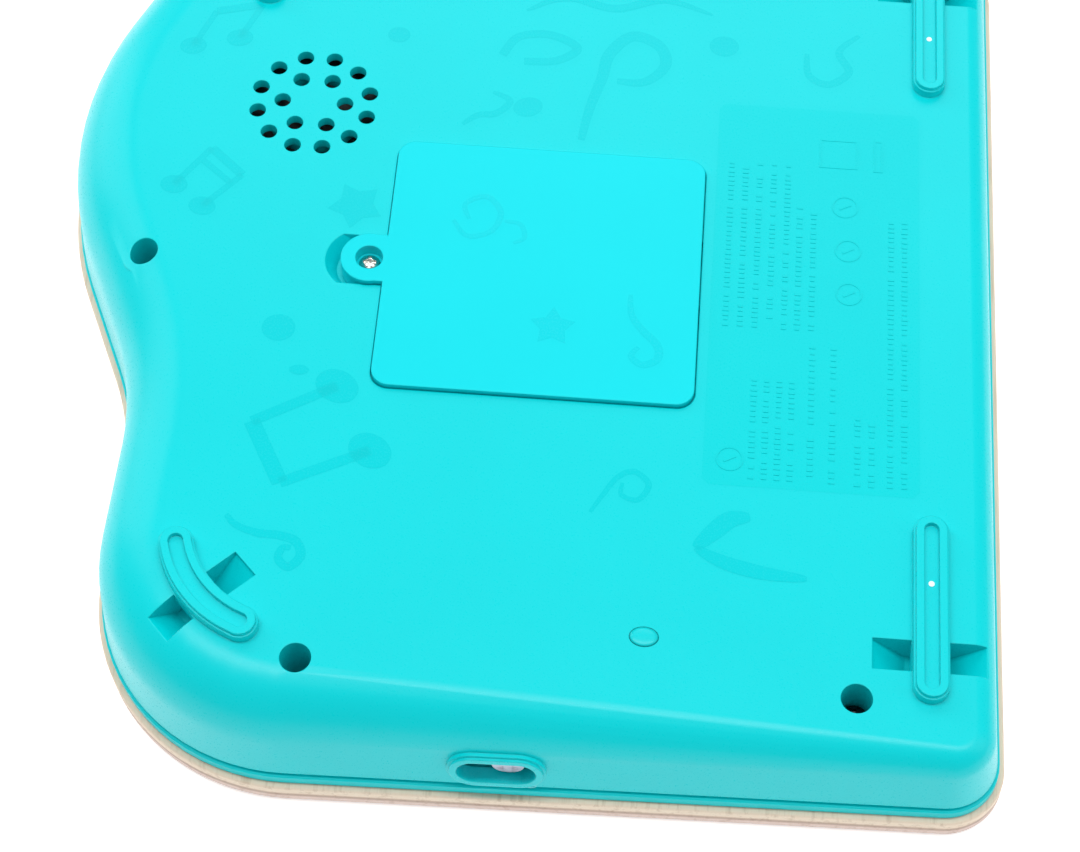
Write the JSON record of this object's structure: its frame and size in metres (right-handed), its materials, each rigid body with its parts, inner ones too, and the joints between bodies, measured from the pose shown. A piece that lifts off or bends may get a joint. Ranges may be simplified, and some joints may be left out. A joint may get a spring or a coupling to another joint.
{
  "type": "kids toy tablet",
  "caption": "Flat musical toy tablet: wooden touch face, wavy-edged plastic back with a battery door, speaker grille, slide switch and four strap feet.",
  "frame": {"origin": "on the wooden front face, straight under the middle of the battery cover", "axes": "+X from the wavy long edge towards the straight long edge, +Y along the straight long edge, +Z from the wooden face to the plastic back"},
  "size_m": [0.1883, 0.199, 0.0331],
  "materials": {
    "housing_abs": "moulded ABS, fine satin",
    "frame_abs": "moulded ABS, satin",
    "plywood": "birch plywood, clear satin varnish",
    "cover_abs": "moulded ABS, satin",
    "nickel": "bright nickel plate",
    "steel": "zinc plated",
    "cell_sleeve": "printed shrink sleeve",
    "ferrite": "sintered ferrite, matt",
    "cone_paper": "pressed paper and PET film",
    "white_pom": "moulded, natural white",
    "board": "solder mask over glass epoxy laminate",
    "epoxy": "black moulding compound",
    "capacitor_sleeve": "printed sleeve",
    "connector_pa": "nylon, ivory",
    "copper": "etched copper",
    "film": "flat cable laminate",
    "wire_pvc": "PVC insulation, several colours",
    "knob_abs": "moulded, pale lilac white"
  },
  "bodies": {
    "casing": {"rear_housing": "housing_abs", "front_frame": "frame_abs", "front_board": "plywood", "battery_cell_1": "cell_sleeve", "battery_cell_2": "cell_sleeve", "battery_cell_3": "cell_sleeve", "positive_contact": "nickel", "negative_contact": "nickel", "link_contact_left": "nickel", "link_contact_right": "nickel", "speaker_frame": "steel", "speaker_magnet": "ferrite", "speaker_clamp": "white_pom", "speaker_screws": "steel", "main_board": "board", "sound_chip": "epoxy", "amplifier_chip": "epoxy", "board_capacitors": "capacitor_sleeve", "board_crystal": "nickel", "ribbon_connector": "connector_pa", "main_board_screws": "steel", "switch_board": "board", "switch_body": "steel", "switch_board_screws": "steel", "touch_board": "board", "touch_pads": "copper", "touch_ribbon": "film", "battery_leads": "wire_pvc", "speaker_leads": "wire_pvc", "switch_leads": "wire_pvc", "housing_screws": "steel"},
    "cover": {"battery_cover": "cover_abs"},
    "cover_washer": {"cover_screw_washer": "nickel"},
    "cover_screw": {"cover_screw": "nickel"},
    "speaker_diaphragm": {"speaker_cone": "cone_paper"},
    "switch_slider": {"switch_knob": "knob_abs", "switch_lever": "white_pom"}
  },
  "joints": [
    {"name": "cover_hinge", "type": "hinge", "parent": "casing", "child": "cover", "pos_m": [0.03041, 0, 0.02536], "axis": [0, 1, 0], "range_deg": [0, 70]},
    {"name": "cover_screw_lift", "type": "slide", "parent": "cover", "child": "cover_washer", "axis": [0.0541, 0, 0.9985], "range_m": [0, 0.003]},
    {"name": "cover_screw_turn", "type": "hinge", "parent": "cover_washer", "child": "cover_screw", "pos_m": [-0.03323, 0, 0.02881], "axis": [0.0541, 0, 0.9985], "range_deg": [0, 1351]},
    {"name": "speaker_cone_stroke", "type": "slide", "parent": "casing", "child": "speaker_diaphragm", "axis": [0.0541, 0, 0.9985], "range_m": [-0.0004, 0.0004], "stiffness_N_per_m": 1000},
    {"name": "power_switch", "type": "slide", "parent": "casing", "child": "switch_slider", "axis": [-1, 0, 0], "range_m": [0, 0.004]}
  ],
  "couplings": [
    {"joint": "cover_screw_turn", "follows": "cover_screw_lift", "rad_per_m": 7854}
  ]
}
